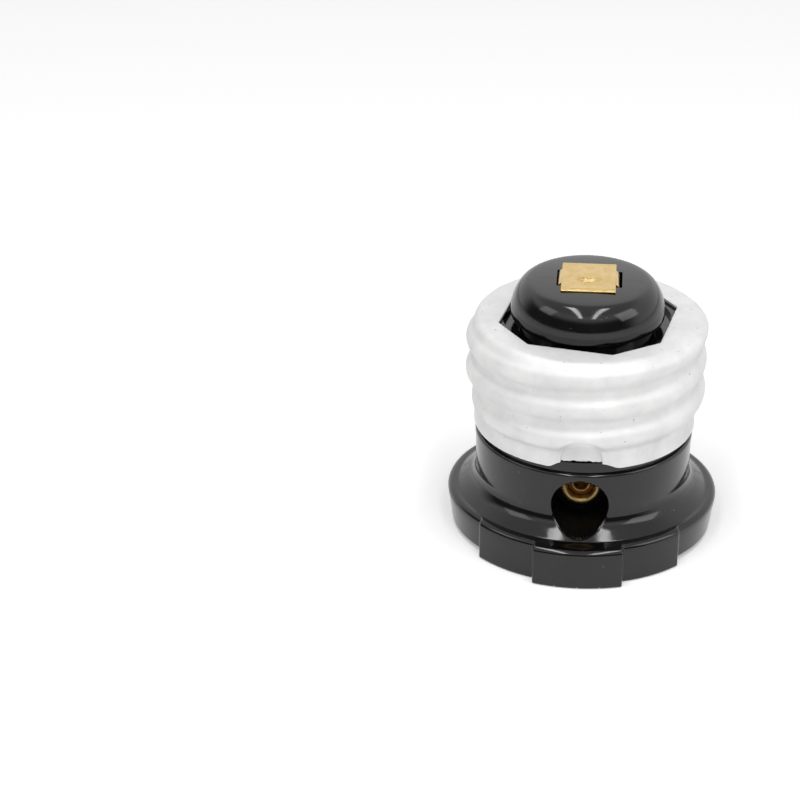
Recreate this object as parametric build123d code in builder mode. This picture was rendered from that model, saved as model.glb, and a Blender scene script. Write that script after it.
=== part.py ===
from build123d import *
from math import atan2, cos, degrees, radians, sin, sqrt
import os

os.makedirs("parts", exist_ok=True)

# Sizes are in millimetres. The adapter stands on its outlet face: Z runs along its axis from that
# face to the centre contact, X runs along the seam between the body halves, and -Y is the front.

# Outlet face and flange
segment_radius = 13.4  # arc of the left and right segments of the rim
segment_shift = 1.5  # centre of that arc, away from the axis
segment_draft = 0.5  # the segments taper in by this much towards the face
segment_recess = 0.45  # the segments lie this far behind the face
band_radius = 14.85  # rim of the two bands that hold the slots
band_half_width = 10.8
block_radius = 15.9  # rim of the blocks at the front and the back
block_half_width = 4.85
flange_height = 4.55
rim_round = 0.6
face_bevel = 0.25
rib_groove_count = 5
rib_groove_width = 0.36
rib_groove_depth = 0.25

# Neck, from the flange up to the ledge below the screw shell
neck_radius = 11.75
neck_flare = 0.2  # the neck is this much wider at its ledge
neck_length = 7.25
neck_edge_round = 0.35
cove_reach = 13.7  # where the cove meets the top of the flange
cove_rise = 2.35

# Screw shell, a medium lamp base
inch = 25.4
threads_per_inch = 7
crest_radius = 13.1
thread_depth = 0.8
thread_half_chord = 1.3  # half the width of a ridge where it leaves the wall
thread_rise = 3.52  # from the shell's foot to the lowest full ridge, at the front
thread_quarter_turns = 9
run_out = 0.3  # the ridge sinks into the wall over this part of a turn, at both ends
run_out_margin = 0.1  # and ends this far below the wall's surface
ridge_sides = 12  # flats round the bar that the ridge is made from
ridge_top_room = 0.3  # keeps the shoulder's form off the crest of the ridge
shell_wall = 0.4
shell_lift = 0.75  # from the ledge of the neck to the shell's foot
shell_height = 12.5
shell_top_round = 0.9
skirt_step = 0.2  # the plain skirt is this much narrower than the wall between the ridges
skirt_height = 2.1
skirt_blend = 0.6
opening_radius = 9.97  # corners of the octagonal opening
opening_half_angle = 27.4  # half the angle that a long side spans
opening_turn = -11.3

# Stakes, the places at the front and the back where the shell is pressed into the body
stake_radius = 2.2  # of the dent that shows at the outside
stake_rise = 0.95  # from the shell's foot to the stake's lower edge
stake_depth = 0.8
stake_notch_half_width = 3.6
stake_clearance = 0.15

# Insulating barrel inside the shell, and the dome on top of it
barrel_clearance = 0.2
barrel_chamfer = 0.7
moat_radius = 9.1
moat_depth = 0.5
stem_radius = 7.3
dome_radius = 8.33
dome_lift = 0.15  # from the shell's top to the underside of the dome
dome_height = 4.25
dome_edge_chamfer = 0.3
dome_knuckle = 2.2
dome_crown = 55.0
dome_land = 1.5  # radius of the flat seat under the pad

# Rivet and its two counterbores
rivet_rise = 3.28  # from the top of the flange to the rivet's axis
rivet_shank_radius = 1.5
rivet_clearance = 0.05
rivet_seat = 6.5  # from the seam to the floor of a counterbore
counterbore_radius = 3.05
rivet_head_radius = 2.35
rivet_head_height = 0.9
clinch_radius = 2.1
clinch_height = 0.8  # of the rolled lip
clinch_chamfer = 0.3
rivet_bore_radius = 1.05
rivet_bore_depth = 3.2
rivet_bore_point = 0.5

# Blade slots and contacts
slot_spacing = 12.7
slot_thickness = 2.1
slot_round = 0.3
hot_slot_width = 7.1
neutral_slot_width = 8.9
face_wall = 3.0  # from the face to the chambers behind the slots
strip_thickness = 0.4
strip_bend = 0.6
jaw_length = 15.0
jaw_gap = 1.3
jaw_side_clearance = 0.5
jaw_foot_gap = 0.2
contact_clearance = 0.25
ear_offset = 3.15  # from the axis to the middle of an ear
ear_width = 3.5
ear_depth = 3.0  # how far the short ear goes into the dome
pad_width = 5.86
pad_length = 7.1
pad_corner = 0.25
boss_radius = 2.1
boss_height = 0.15
arm_width = 2.6
arm_rise = 3.0
arm_gap = 0.12  # left between the arm and the inside of the shell

# Seam between the body halves
seam_gap = 0.06

# Worked out from the sizes above
neck_top = flange_height + neck_length
shell_foot = neck_top + shell_lift
shell_top = shell_foot + shell_height
shoulder = shell_top - shell_wall
dome_underside = shell_top + dome_lift
dome_top = dome_underside + dome_height
rivet_height = flange_height + rivet_rise
thread_start = shell_foot + thread_rise
stake_foot = shell_foot + stake_rise
thread_pitch = inch / threads_per_inch
root_radius = crest_radius - thread_depth
skirt_radius = root_radius - skirt_step
ridge_radius = (thread_half_chord**2 + thread_depth**2) / (2 * thread_depth)
helix_radius = crest_radius - ridge_radius
thread_end = thread_start + thread_quarter_turns * thread_pitch / 4
fade = thread_depth + run_out_margin
fade_angle = degrees(atan2(fade, run_out * thread_pitch))
barrel_radius = skirt_radius - shell_wall - barrel_clearance
ledge_radius = neck_radius + neck_flare
slot_center = slot_spacing / 2
hot_jaw_width = hot_slot_width - 2 * jaw_side_clearance
neutral_jaw_width = neutral_slot_width - 2 * jaw_side_clearance
jaw_middle = (jaw_gap + strip_thickness) / 2
jaw_foot = face_wall + jaw_foot_gap
strip_level = jaw_foot + jaw_length  # the strips cross from the jaws at this height
chamber_half = jaw_gap / 2 + strip_thickness + contact_clearance
chamber_top = strip_level + strip_thickness + contact_clearance
strip_middle = strip_level + strip_thickness / 2
pad_middle = dome_top + strip_thickness / 2
arm_reach = root_radius - shell_wall - arm_gap - strip_thickness / 2
ear_half = strip_thickness / 2 + contact_clearance
stake_floor = skirt_radius - stake_depth  # outer face of a pressed-in stake
beyond = 2 * block_radius  # longer than any cut has to be


# A round rim on its own axis, with a bevelled foot and a rounded top edge
def rim(shift, reach, foot, draft):
    middle = (shift, 0, 0)
    with BuildPart() as disc:
        with BuildSketch(Plane(origin=middle, x_dir=(1, 0, 0), z_dir=(0, -1, 0))):
            with BuildLine():
                Polyline(
                    (reach - rim_round, flange_height),
                    (0, flange_height),
                    (0, foot),
                    (reach - draft - face_bevel, foot),
                    (reach - draft, foot + face_bevel),
                    (reach, flange_height - rim_round),
                )
                CenterArc((reach - rim_round, flange_height - rim_round), rim_round, 0, 90)
            make_face()
        revolve(axis=Axis(middle, (0, 0, 1)))
    return disc.part


# An upright plane facing the front (-1) or the back (1), its own Y pointing up
def facing(front, distance, height):
    return Plane(origin=(0, front * distance, height), x_dir=(-front, 0, 0), z_dir=(0, front, 0))


# The bands and the blocks, each cut to its own width from a full round rim
with BuildPart() as band:
    add(rim(0, band_radius, 0, 0))
    with BuildSketch(Plane.XY):
        Rectangle(2 * band_half_width, beyond)
    extrude(amount=flange_height, mode=Mode.INTERSECT)

with BuildPart() as block:
    add(rim(0, block_radius, 0, 0))
    with BuildSketch(Plane.XY):
        Rectangle(2 * block_half_width, beyond)
    extrude(amount=flange_height, mode=Mode.INTERSECT)

# The whole insulating body, which is then parted at the seam
knuckle_x = dome_radius - dome_knuckle
crown_z = dome_top - dome_crown
knuckle_z = crown_z + sqrt((dome_crown - dome_knuckle) ** 2 - (knuckle_x - dome_land) ** 2)
crown_tilt = degrees(atan2(knuckle_z - crown_z, knuckle_x - dome_land))

with BuildPart() as body:
    for side in (-1, 1):
        add(rim(side * segment_shift, segment_radius, segment_recess, segment_draft))
    add(band.part)
    add(block.part)

    # Cove, neck, barrel, stem and dome in one turned section
    with BuildSketch(Plane.XZ):
        with BuildLine():
            Polyline(
                (dome_land, dome_top),
                (0, dome_top),
                (0, segment_recess),
                (neck_radius, segment_recess),
                (cove_reach, flange_height),
            )
            EllipticalCenterArc(
                (cove_reach, flange_height + cove_rise),
                cove_reach - neck_radius,
                cove_rise,
                start_angle=180,
                arc_size=90,
            )
            Line((neck_radius, flange_height + cove_rise), (ledge_radius, neck_top - neck_edge_round))
            CenterArc((ledge_radius - neck_edge_round, neck_top - neck_edge_round), neck_edge_round, 0, 90)
            Polyline(
                (ledge_radius - neck_edge_round, neck_top),
                (barrel_radius, neck_top),
                (barrel_radius, shoulder - barrel_chamfer),
                (barrel_radius - barrel_chamfer, shoulder),
                (moat_radius, shoulder),
                (moat_radius, shoulder - moat_depth),
                (stem_radius, shoulder - moat_depth),
                (stem_radius, dome_underside),
                (dome_radius - dome_edge_chamfer, dome_underside),
                (dome_radius, dome_underside + dome_edge_chamfer),
                (dome_radius, knuckle_z),
            )
            CenterArc((knuckle_x, knuckle_z), dome_knuckle, 0, crown_tilt)
            CenterArc((dome_land, crown_z), dome_crown, crown_tilt, 90 - crown_tilt)
        make_face()
    revolve(axis=Axis.Z)

    # Grooves that part the ribs on the face
    with BuildSketch(Plane.XZ):
        with GridLocations(2 * block_half_width / (rib_groove_count - 1), 1, rib_groove_count, 1):
            Polygon(
                (-rib_groove_width / 2, 0),
                (rib_groove_width / 2, 0),
                (0, rib_groove_depth),
                align=None,
            )
    extrude(amount=beyond, both=True, mode=Mode.SUBTRACT)

    # Slots through the face, and the chambers behind them
    for side, slot_width in ((1, hot_slot_width), (-1, neutral_slot_width)):
        with BuildSketch(Plane.XY):
            with Locations((side * slot_center, 0)):
                RectangleRounded(slot_thickness, slot_width, slot_round)
        extrude(amount=face_wall, mode=Mode.SUBTRACT)
        with BuildSketch(Plane.XY.offset(face_wall)):
            with Locations((side * slot_center, 0)):
                Rectangle(2 * chamber_half, slot_width)
        extrude(amount=chamber_top - face_wall, mode=Mode.SUBTRACT)

    # Channel of the live strip, in from its chamber and up through the dome, and the short ear's slot
    with BuildSketch(Plane.XZ):
        with BuildLine():
            Polyline(
                (slot_center, strip_level),
                (slot_center, chamber_top),
                (ear_offset + ear_half, chamber_top),
                (ear_offset + ear_half, dome_top),
                (ear_offset - ear_half, dome_top),
                (ear_offset - ear_half, strip_level),
                close=True,
            )
        make_face()
        with Locations((-ear_offset, dome_top)):
            Rectangle(2 * ear_half, ear_depth + contact_clearance, align=(Align.CENTER, Align.MAX))
    extrude(amount=ear_width / 2 + contact_clearance, both=True, mode=Mode.SUBTRACT)

    # Window that lets the neutral arm out to the shell
    with BuildSketch(Plane.XZ):
        with BuildLine():
            arm_back = -arm_reach + ear_half
            arm_tip = strip_level + arm_rise + contact_clearance
            Polyline(
                (-slot_center, strip_level),
                (-crest_radius, strip_level),
                (-crest_radius, arm_tip),
                (arm_back, arm_tip),
                (arm_back, chamber_top),
                (-slot_center, chamber_top),
                close=True,
            )
        make_face()
    extrude(amount=arm_width / 2 + contact_clearance, both=True, mode=Mode.SUBTRACT)

    # Rivet hole and its counterbores
    for front in (-1, 1):
        with BuildSketch(facing(front, rivet_seat, rivet_height)):
            Circle(counterbore_radius)
        extrude(amount=beyond, mode=Mode.SUBTRACT)
    with BuildSketch(facing(-1, 0, rivet_height)):
        Circle(rivet_shank_radius + rivet_clearance)
    extrude(amount=beyond, both=True, mode=Mode.SUBTRACT)

    # Pockets that take the pressed-in stakes of the shell
    pocket_radius = stake_radius + shell_wall + stake_clearance
    for front in (-1, 1):
        with BuildSketch(facing(front, stake_floor - shell_wall - stake_clearance, stake_foot)):
            Circle(pocket_radius)
            with Locations((0, -stake_clearance)):
                Rectangle(beyond, beyond, align=(Align.CENTER, Align.MAX), mode=Mode.SUBTRACT)
        extrude(amount=beyond, mode=Mode.SUBTRACT)

with BuildPart() as front_half:
    add(body.part)
    split(bisect_by=Plane.XZ.offset(seam_gap / 2), keep=Keep.TOP)
front_half.part.label = "front_body_half"
export_step(front_half.part, "parts/front_body_half.step")

with BuildPart() as rear_half:
    add(body.part)
    split(bisect_by=Plane.XZ.offset(-seam_gap / 2), keep=Keep.BOTTOM)
rear_half.part.label = "rear_body_half"
export_step(rear_half.part, "parts/rear_body_half.step")


# A closed cup with a rounded top edge
def cup(radius, foot, top, edge):
    with BuildPart() as solid:
        with BuildSketch(Plane.XZ):
            with BuildLine():
                Polyline((radius - edge, top), (0, top), (0, foot), (radius, foot), (radius, top - edge))
                CenterArc((radius - edge, top - edge), edge, 0, 90)
            make_face()
        revolve(axis=Axis.Z)
    return solid.part


# A stretch of the rolled ridge: a bar wound from +X on a helix that may widen as it rises
def ridge_stretch(bar_radius, start_radius, turns, widening):
    slant = cos(radians(widening))
    with BuildPart() as bar:
        with BuildLine() as path:
            Helix(thread_pitch / slant, turns * thread_pitch / slant, start_radius, cone_angle=widening)
        with BuildSketch(Plane(path.line @ 0, x_dir=(0, -1, 0), z_dir=path.line % 0)):
            RegularPolygon(bar_radius, ridge_sides, major_radius=False, rotation=180 / ridge_sides)
        sweep(is_frenet=True)
    return bar.part


# Turned wall and shoulder with the ridge on them, before the stakes are pressed in
def ridged_form(inset, foot):
    top = shell_top - inset
    edge = shell_top_round - inset
    wall = root_radius - inset
    room = cup(crest_radius - inset + ridge_top_room, foot - shell_wall, top, edge + ridge_top_room)
    bar_radius = ridge_radius - inset
    quarter_turn = ridge_stretch(bar_radius, helix_radius, 1 / 4, 0)
    lower_run_out = ridge_stretch(bar_radius, helix_radius - fade, run_out, fade_angle)
    upper_run_out = ridge_stretch(bar_radius, helix_radius, run_out, -fade_angle)
    with BuildPart() as form:
        with BuildSketch(Plane.XZ):
            with BuildLine():
                Polyline(
                    (wall - edge, top),
                    (0, top),
                    (0, foot),
                    (skirt_radius - inset, foot),
                    (skirt_radius - inset, shell_foot + skirt_height),
                    (wall, shell_foot + skirt_height + skirt_blend),
                    (wall, top - edge),
                )
                CenterArc((wall - edge, top - edge), edge, 0, 90)
            make_face()
        revolve(axis=Axis.Z)
        for quarter in range(thread_quarter_turns):
            add(Pos(0, 0, thread_start + quarter * thread_pitch / 4) * Rot(0, 0, 90 * quarter) * quarter_turn)
        add(Pos(0, 0, thread_start - run_out * thread_pitch) * Rot(0, 0, -360 * run_out) * lower_run_out)
        add(Pos(0, 0, thread_end) * Rot(0, 0, 90 * thread_quarter_turns) * upper_run_out)
        add(room, mode=Mode.INTERSECT)
    return form.part


# The outside of the shell, or with an inset of one wall the room inside it
def shell_form(inset, foot):
    with BuildPart() as form:
        add(Rot(0, 0, -90) * ridged_form(inset, foot))  # the ridge starts at the front

        # Where a stake is pressed in, at the front and the back
        for front in (-1, 1):
            with BuildSketch(facing(front, stake_floor - inset, stake_foot)):
                Circle(stake_radius + inset)
                Rectangle(beyond, beyond, align=(Align.CENTER, Align.MAX), mode=Mode.SUBTRACT)
            extrude(amount=beyond, mode=Mode.SUBTRACT)
    return form.part


shell_outside = shell_form(0, shell_foot)
shell_room = shell_form(shell_wall, shell_foot - shell_wall)

with BuildPart() as screw_shell:
    add(shell_outside)
    add(shell_room, mode=Mode.SUBTRACT)

    # Octagonal opening in the top
    corners = []
    for quarter in range(4):
        for half in (-1, 1):
            angle = radians(90 * quarter + opening_turn + half * opening_half_angle)
            corners.append((opening_radius * cos(angle), opening_radius * sin(angle)))
    with BuildSketch(Plane.XY.offset(shoulder)):
        Polygon(*corners, align=None)
    extrude(amount=shell_wall, mode=Mode.SUBTRACT)

    # The lower edge rises below each stake
    for front in (-1, 1):
        with BuildSketch(facing(front, 0, shell_foot)):
            with BuildLine():
                Polyline(
                    (-stake_notch_half_width, 0),
                    (-stake_radius, stake_foot - shell_foot),
                    (stake_radius, stake_foot - shell_foot),
                    (stake_notch_half_width, 0),
                    close=True,
                )
            make_face()
        extrude(amount=beyond, mode=Mode.SUBTRACT)
screw_shell.part.label = "screw_shell"
export_step(screw_shell.part, "parts/screw_shell.step")

# Rivet through both halves: domed head at the back, rolled lip round a bore at the front
with BuildPart() as rivet:
    along = Plane(origin=(0, 0, rivet_height), x_dir=(0, -1, 0), z_dir=(1, 0, 0))
    with BuildSketch(along):
        with BuildLine():
            dome_rise = rivet_head_height
            dome_curve = (rivet_head_radius**2 + dome_rise**2) / (2 * dome_rise)
            dome_turn = degrees(atan2(rivet_head_radius, dome_curve - dome_rise))
            CenterArc((dome_curve - rivet_seat - dome_rise, 0), dome_curve, 180 - dome_turn, dome_turn)
            Polyline(
                (-rivet_seat, rivet_head_radius),
                (-rivet_seat, rivet_shank_radius),
                (rivet_seat, rivet_shank_radius),
                (rivet_seat, clinch_radius),
                (rivet_seat + clinch_height - clinch_chamfer, clinch_radius),
                (rivet_seat + clinch_height, clinch_radius - clinch_chamfer),
                (rivet_seat + clinch_height, rivet_bore_radius + clinch_chamfer),
                (rivet_seat + clinch_height - clinch_chamfer, rivet_bore_radius),
                (rivet_seat - rivet_bore_depth, rivet_bore_radius),
                (rivet_seat - rivet_bore_depth - rivet_bore_point, 0),
                (-rivet_seat - dome_rise, 0),
            )
        make_face()
    revolve(axis=Axis((0, 0, rivet_height), (0, -1, 0)))
rivet.part.label = "body_rivet"
export_step(rivet.part, "parts/body_rivet.step")

# Live strip: jaw behind the narrow slot, run and riser up to the pad, and the short ear
with BuildPart() as centre_contact:
    with BuildSketch(Plane.XZ):
        with BuildLine():
            FilletPolyline(
                (slot_center - jaw_middle, jaw_foot),
                (slot_center - jaw_middle, strip_level - strip_thickness / 2),
                (slot_center + jaw_middle, strip_level - strip_thickness / 2),
                (slot_center + jaw_middle, jaw_foot),
                radius=strip_bend,
            )
        trace(line_width=strip_thickness)
    extrude(amount=hot_jaw_width / 2, both=True)
    with BuildSketch(Plane.XZ):
        with BuildLine():
            FilletPolyline(
                (slot_center + jaw_middle - strip_bend, strip_middle),
                (ear_offset, strip_middle),
                (ear_offset, pad_middle),
                (-ear_offset, pad_middle),
                (-ear_offset, dome_top - ear_depth),
                radius=strip_bend,
            )
        trace(line_width=strip_thickness)
    extrude(amount=ear_width / 2, both=True)
    with BuildSketch(Plane.XY.offset(dome_top)):
        RectangleRounded(pad_width, pad_length, pad_corner)
    extrude(amount=strip_thickness)
    with BuildSketch(Plane.XY.offset(dome_top + strip_thickness)):
        Circle(boss_radius)
    extrude(amount=boss_height)
centre_contact.part.label = "centre_contact"
export_step(centre_contact.part, "parts/centre_contact.step")

# Neutral strip: jaw behind the wide slot, and the arm out to the inside of the shell
with BuildPart() as neutral_contact:
    with BuildSketch(Plane.XZ):
        with BuildLine():
            FilletPolyline(
                (-slot_center - jaw_middle, jaw_foot),
                (-slot_center - jaw_middle, strip_level - strip_thickness / 2),
                (-slot_center + jaw_middle, strip_level - strip_thickness / 2),
                (-slot_center + jaw_middle, jaw_foot),
                radius=strip_bend,
            )
        trace(line_width=strip_thickness)
    extrude(amount=neutral_jaw_width / 2, both=True)
    with BuildSketch(Plane.XZ):
        with BuildLine():
            FilletPolyline(
                (-slot_center + jaw_middle - strip_bend, strip_middle),
                (-arm_reach, strip_middle),
                (-arm_reach, strip_level + arm_rise),
                radius=strip_bend,
            )
        trace(line_width=strip_thickness)
    extrude(amount=arm_width / 2, both=True)
neutral_contact.part.label = "neutral_contact"
export_step(neutral_contact.part, "parts/neutral_contact.step")
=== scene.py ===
import math

import bmesh
import bpy
import numpy as np
from mathutils import Matrix, Vector
from mathutils.geometry import interpolate_bezier


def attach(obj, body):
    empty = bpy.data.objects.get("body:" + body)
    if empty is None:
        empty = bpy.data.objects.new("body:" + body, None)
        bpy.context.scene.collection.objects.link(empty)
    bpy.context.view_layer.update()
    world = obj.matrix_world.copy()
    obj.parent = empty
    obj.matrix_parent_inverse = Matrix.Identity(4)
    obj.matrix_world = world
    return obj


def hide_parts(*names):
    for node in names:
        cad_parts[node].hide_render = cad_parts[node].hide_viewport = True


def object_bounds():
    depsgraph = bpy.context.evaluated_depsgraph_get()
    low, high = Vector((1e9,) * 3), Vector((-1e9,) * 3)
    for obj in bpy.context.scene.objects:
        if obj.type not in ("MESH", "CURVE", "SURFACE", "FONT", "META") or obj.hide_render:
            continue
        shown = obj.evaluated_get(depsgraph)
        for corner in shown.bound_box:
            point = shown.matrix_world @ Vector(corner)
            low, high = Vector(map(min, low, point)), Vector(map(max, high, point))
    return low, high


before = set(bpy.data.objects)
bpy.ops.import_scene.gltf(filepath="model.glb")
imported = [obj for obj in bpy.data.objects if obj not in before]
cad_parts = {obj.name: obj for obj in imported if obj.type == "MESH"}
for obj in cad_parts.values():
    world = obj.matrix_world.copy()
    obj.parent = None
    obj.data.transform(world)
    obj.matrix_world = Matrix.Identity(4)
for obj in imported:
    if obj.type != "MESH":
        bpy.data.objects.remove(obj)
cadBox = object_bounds()
mm = 0.001  # shapes below are written in millimetres
reachX, reachY, topZ = (round(size / mm, 3) for size in cadBox[1])  # of the whole adapter
print("frame loaded")


# small mesh tools

def meshFrom(name, points, faces):
    mesh = bpy.data.meshes.new(name)
    mesh.from_pydata(np.asarray(points, float).tolist(), [], faces)
    mesh.validate()
    return mesh


def objectFrom(name, points, faces):
    made = bpy.data.objects.new(name, meshFrom(name, points, faces))
    bpy.context.collection.objects.link(made)
    return made


def gridQuads(rows, cols, first=0, around=False):
    quads = []
    for r in range(rows - 1):
        for c in range(cols if around else cols - 1):
            d = (c + 1) % cols
            a = first + r * cols
            quads.append((a + c, a + d, a + cols + d, a + cols + c))
    return quads


def faceOutward(made):
    bm = bmesh.new()
    bm.from_mesh(made.data)
    bmesh.ops.remove_doubles(bm, verts=bm.verts, dist=1e-5)
    bmesh.ops.recalc_face_normals(bm, faces=bm.faces)
    bm.to_mesh(made.data)
    bm.free()


def smoothUnder(made, degrees):
    made.data.shade_smooth()
    made.data.set_sharp_from_angle(angle=math.radians(degrees))


def combine(made, tool, how):
    step = made.modifiers.new(how.lower(), "BOOLEAN")
    step.operation = how
    step.solver = "EXACT"
    step.object = tool
    graph = bpy.context.evaluated_depsgraph_get()
    done = bpy.data.meshes.new_from_object(made.evaluated_get(graph))
    made.modifiers.clear()
    old = made.data
    made.data = done
    bpy.data.meshes.remove(old)
    bpy.data.objects.remove(tool)


def joined(name, parts):
    points, faces = [], []
    for partPoints, partFaces in parts:
        shift = len(points)
        points.extend(partPoints)
        faces.extend(tuple(i + shift for i in f) for f in partFaces)
    made = objectFrom(name, points, faces)
    faceOutward(made)
    return made


def loftLoops(loops):
    count = len(loops[0])
    points = [p for loop in loops for p in loop]
    faces = gridQuads(len(loops), count, around=True)
    faces.append(tuple(range(count)))
    faces.append(tuple(range((len(loops) - 1) * count, len(loops) * count)))
    return points, faces


def boxPart(low, high):
    (x0, y0, z0), (x1, y1, z1) = low, high
    loop = [(x0, y0), (x1, y0), (x1, y1), (x0, y1)]
    return loftLoops([[(x, y, z) for x, y in loop] for z in (z0, z1)])


def turnedAboutY(profile, height, segments):
    # profile of (radius, y) from one end of the axis to the other
    points, faces = [(0, profile[0][1], height)], []
    for radius, y in profile[1:-1]:
        for k in range(segments):
            a = 2 * math.pi * k / segments
            points.append((radius * math.cos(a), y, height + radius * math.sin(a)))
    points.append((0, profile[-1][1], height))
    rows = len(profile) - 2
    faces += gridQuads(rows, segments, 1, True)
    last = len(points) - 1
    for k in range(segments):
        n = (k + 1) % segments
        faces.append((0, 1 + k, 1 + n))
        faces.append((last, last - segments + n, last - segments + k))
    return points, faces


def smoothStep(low, high, value):
    t = np.clip((value - low) / (high - low), 0, 1)
    return t * t * (3 - 2 * t)


def arcPoints(cx, cz, radius, start, end, count):
    angles = np.radians(np.linspace(start, end, count))
    return [(cx + radius * math.cos(a), cz + radius * math.sin(a)) for a in angles]


def ridesOn(made, material, slotName, *nodes):
    made.data.transform(Matrix.Scale(mm, 4))  # millimetres to metres
    made.data.materials.clear()
    made.data.materials.append(material)
    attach(made, "root")
    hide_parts(*nodes)


# finishes

class Finish:
    def __init__(self, name):
        self.material = bpy.data.materials.new(name)
        self.material.use_nodes = True
        self.nodes = self.material.node_tree.nodes
        self.links = self.material.node_tree.links
        self.shader = self.nodes["Principled BSDF"]
        place = self.nodes.new("ShaderNodeTexCoord")
        self.inMm = self.nodes.new("ShaderNodeMapping")  # from here on one unit is a millimetre
        self.inMm.inputs["Scale"].default_value = (1 / mm, 1 / mm, 1 / mm)
        self.links.new(place.outputs["Object"], self.inMm.inputs["Vector"])

    def stretched(self, scale):
        node = self.nodes.new("ShaderNodeMapping")
        node.inputs["Scale"].default_value = scale
        self.links.new(self.inMm.outputs["Vector"], node.inputs["Vector"])
        return node.outputs["Vector"]

    def noise(self, scale, detail=3.0, rough=0.5, vector=None):
        node = self.nodes.new("ShaderNodeTexNoise")
        node.inputs["Scale"].default_value = scale
        node.inputs["Detail"].default_value = detail
        node.inputs["Roughness"].default_value = rough
        self.links.new(vector or self.inMm.outputs["Vector"], node.inputs["Vector"])
        return node.outputs["Fac"]

    def ramp(self, value, stops):
        node = self.nodes.new("ShaderNodeValToRGB")
        ends = node.color_ramp.elements
        while len(ends) < len(stops):
            ends.new(0.5)
        for end, (place, colour) in zip(ends, stops):
            end.position = place
            end.color = (*colour, 1) if isinstance(colour, tuple) else (colour, colour, colour, 1)
        self.links.new(value, node.inputs["Fac"])
        return node.outputs["Color"]

    def maths(self, how, a, b):
        node = self.nodes.new("ShaderNodeMath")
        node.operation = how
        for socket, value in zip(node.inputs, (a, b)):
            if isinstance(value, (int, float)):
                socket.default_value = value
            else:
                self.links.new(value, socket)
        return node.outputs["Value"]

    def mix(self, factor, a, b):
        node = self.nodes.new("ShaderNodeMix")
        node.data_type = "RGBA"
        for socket, value in ((node.inputs["Factor"], factor), (node.inputs["A"], a), (node.inputs["B"], b)):
            if isinstance(value, tuple):
                socket.default_value = (*value, 1)
            elif isinstance(value, (int, float)):
                socket.default_value = value
            else:
                self.links.new(value, socket)
        return node.outputs["Result"]

    def within(self, centre, radius):
        # 1 inside a cylinder along y
        flat = self.nodes.new("ShaderNodeVectorMath")
        flat.operation = "MULTIPLY_ADD"
        flat.inputs[1].default_value = (1, 0, 1)
        flat.inputs[2].default_value = (-centre[0], 0, -centre[1])
        self.links.new(self.inMm.outputs["Vector"], flat.inputs[0])
        far = self.nodes.new("ShaderNodeVectorMath")
        far.operation = "LENGTH"
        self.links.new(flat.outputs["Vector"], far.inputs[0])
        return self.maths("LESS_THAN", far.outputs["Value"], radius)

    def bump(self, height, strength, distance, under=None):
        node = self.nodes.new("ShaderNodeBump")
        node.inputs["Strength"].default_value = strength
        node.inputs["Distance"].default_value = distance * mm
        self.links.new(height, node.inputs["Height"])
        if under is not None:
            self.links.new(under, node.inputs["Normal"])
        return node.outputs["Normal"]

    def wire(self, **sockets):
        for name, value in sockets.items():
            socket = self.shader.inputs[name.replace("_", " ")]
            if isinstance(value, (int, float)):
                socket.default_value = value
            elif isinstance(value, tuple):
                socket.default_value = (*value, 1)
            else:
                self.links.new(value, socket)


phenolicLook = {
    "dark": 0.002, "pale": 0.005, "cloudScale": 0.35, "fleck": 0.1, "fleckScale": 3.1,
    "gloss": 0.07, "dull": 0.16, "wearScale": 1.3, "shine": 0.5, "ior": 1.5,
    "boreDull": 0.3, "boreShine": 0.08, "boreMargin": 0.06,  # the counterbore is rough and dark
    "rippleScale": 0.55, "rippleHeight": 0.03, "grainScale": 9.0, "grainHeight": 0.01,
}


def blackPhenolic():
    look = phenolicLook
    f = Finish("blackPhenolic")
    cloud = f.noise(look["cloudScale"], 4.0)
    tone = f.ramp(cloud, [(0.3, look["dark"]), (0.75, look["pale"])])
    grain = f.noise(look["grainScale"], 2.0)
    fleckNoise = f.noise(look["fleckScale"], 2.0)
    fleck = f.ramp(fleckNoise, [(0.735, 0.0), (0.78, 1.0)])  # rare pale dust in the moulding
    colour = f.mix(fleck, tone, (look["fleck"], look["fleck"], look["fleck"] * 0.95))
    wear = f.noise(look["wearScale"], 5.0, 0.65)
    rough = f.ramp(wear, [(0.35, look["gloss"]), (0.8, look["dull"])])
    inBore = f.within((0, body["boreHeight"]), body["boreRadius"] + look["boreMargin"])
    rough = f.maths("MAXIMUM", rough, f.maths("MULTIPLY", inBore, look["boreDull"]))
    shine = f.ramp(inBore, [(0.0, look["shine"]), (1.0, look["boreShine"])])
    ripple = f.noise(look["rippleScale"], 2.0)
    normal = f.bump(ripple, 0.35, look["rippleHeight"])
    normal = f.bump(grain, 0.12, look["grainHeight"], normal)
    f.wire(Base_Color=colour, Roughness=rough, Normal=normal, Metallic=0.0)
    f.wire(Specular_IOR_Level=shine, IOR=look["ior"])
    return f.material


shellLook = {
    "pale": (0.86, 0.86, 0.855), "grey": (0.72, 0.72, 0.72), "cloudScale": 0.28,
    "pit": (0.3, 0.3, 0.3), "pitScale": 2.3, "pitDepth": 0.03, "frostScale": 14.0, "frostHeight": 0.012,
    "streak": (0.25, 0.25, 5.0), "streakHeight": 0.02, "lowRough": 0.46, "highRough": 0.6, "metallic": 0.18,
}


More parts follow.
